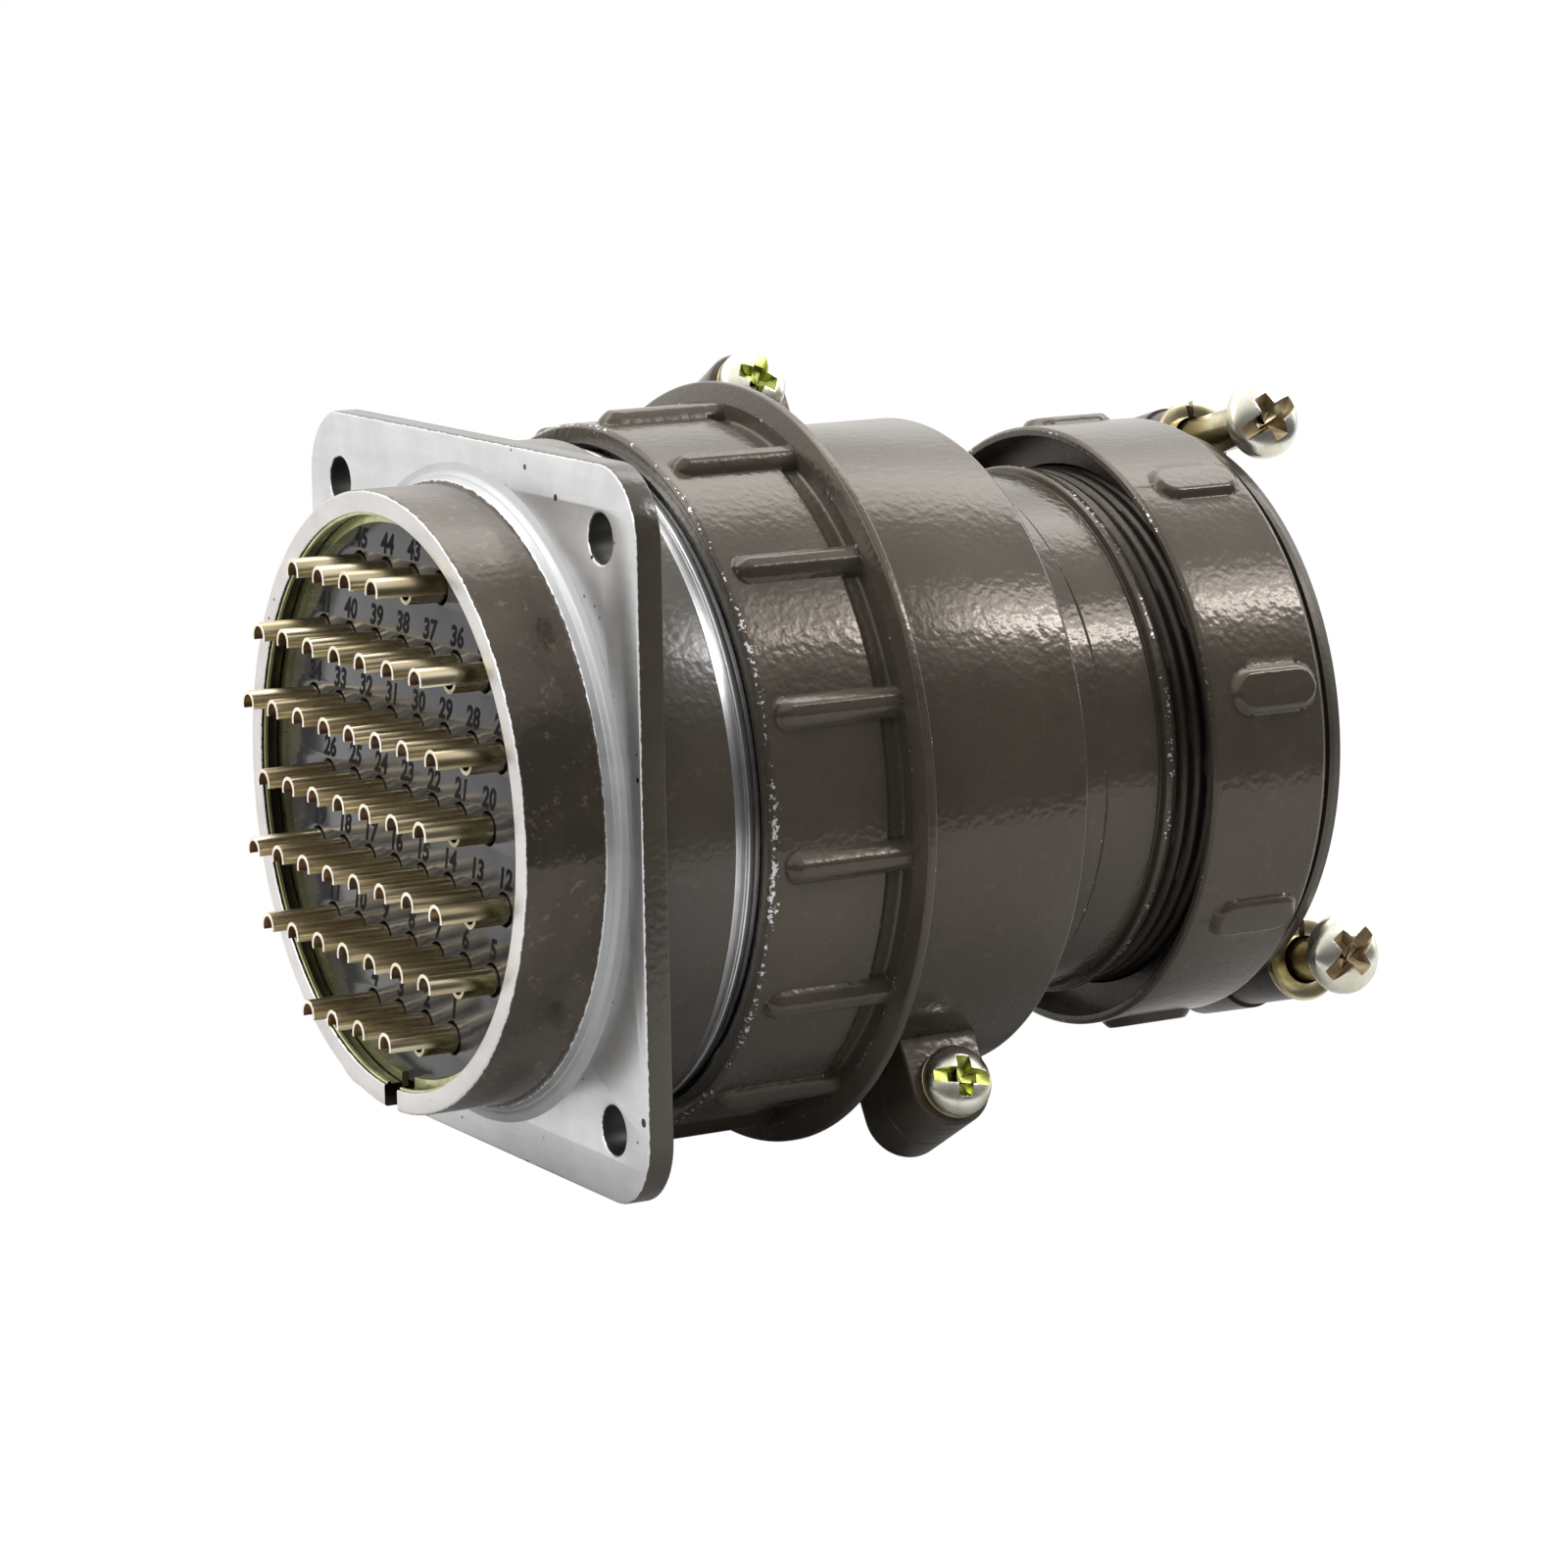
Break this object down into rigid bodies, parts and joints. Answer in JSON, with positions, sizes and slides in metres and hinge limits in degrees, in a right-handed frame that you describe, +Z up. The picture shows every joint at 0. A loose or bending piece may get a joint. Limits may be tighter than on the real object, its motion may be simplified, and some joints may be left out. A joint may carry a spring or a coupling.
{
  "type": "circular multi-pole connector pair",
  "caption": "Round threaded power and signal connector: square-flange receptacle with solder contacts, and a cable plug locked on it by a ribbed nut.",
  "frame": {"origin": "centre of the flange's bare face, the one that lies on a panel, on the connector's axis", "axes": "+X along the connector's axis, from the wiring side to the cable entry; +Z up, with two sides of the square flange level"},
  "size_m": [0.0977, 0.071, 0.0747],
  "materials": {
    "bare_aluminium": "bare, fine turned, lightly scratched",
    "grey_brown_paint": "glossy baked enamel with slight orange peel",
    "black_paint": "black semi-gloss",
    "black_moulding": "glossy thermoset moulding",
    "contact_brass": "turned brass",
    "zinc_plate": "bright zinc with a yellow-green tint",
    "spring_steel": "passivated steel",
    "seal_rubber": "matt rubber"
  },
  "bodies": {
    "receptacle": {"receptacle_shell": "bare_aluminium", "receptacle_insert": "black_moulding", "receptacle_contacts": "contact_brass", "receptacle_retaining_ring": "spring_steel", "interface_seal": "seal_rubber"},
    "plug": {"plug_shell": "bare_aluminium", "plug_insert": "black_moulding", "plug_contacts": "contact_brass", "plug_retaining_ring": "spring_steel", "backshell_near_half": "grey_brown_paint", "backshell_far_half": "grey_brown_paint", "backshell_screws": "zinc_plate", "backshell_spring_washers": "zinc_plate", "cable_bushing": "seal_rubber", "gland_washer": "spring_steel"},
    "locking_nut": {"coupling_nut": "grey_brown_paint"},
    "slip_ring": {"slip_washer": "spring_steel"},
    "rear_nut": {"rear_ring_nut": "grey_brown_paint"},
    "clamp": {"clamp_hub": "bare_aluminium", "clamp_base": "black_paint", "clamp_screws": "zinc_plate"},
    "saddle": {"clamp_saddle": "black_paint", "clamp_spring_washers": "zinc_plate"}
  },
  "joints": [
    {"name": "plug_draw", "type": "slide", "parent": "receptacle", "child": "plug", "axis": [1, 0, 0], "range_m": [0, 0.0105]},
    {"name": "coupling_nut_turn", "type": "hinge", "parent": "plug", "child": "locking_nut", "pos_m": [0.02, 0, 0], "axis": [1, 0, 0], "range_deg": [0, 1260]},
    {"name": "gland_draw", "type": "slide", "parent": "plug", "child": "slip_ring", "axis": [1, 0, 0], "range_m": [0, 0.00525]},
    {"name": "rear_nut_turn", "type": "hinge", "parent": "slip_ring", "child": "rear_nut", "pos_m": [0.068, 0, 0], "axis": [1, 0, 0], "range_deg": [0, 1260]},
    {"name": "clamp_swivel", "type": "hinge", "parent": "slip_ring", "child": "clamp", "pos_m": [0.076, 0, 0], "axis": [1, 0, 0], "continuous": true},
    {"name": "saddle_slide", "type": "slide", "parent": "clamp", "child": "saddle", "axis": [0, -0.9664, 0.2571], "range_m": [0, 0.0036]}
  ],
  "couplings": [
    {"joint": "plug_draw", "follows": "coupling_nut_turn", "m_per_rad": 0.000477},
    {"joint": "gland_draw", "follows": "rear_nut_turn", "m_per_rad": 0.0002387}
  ]
}
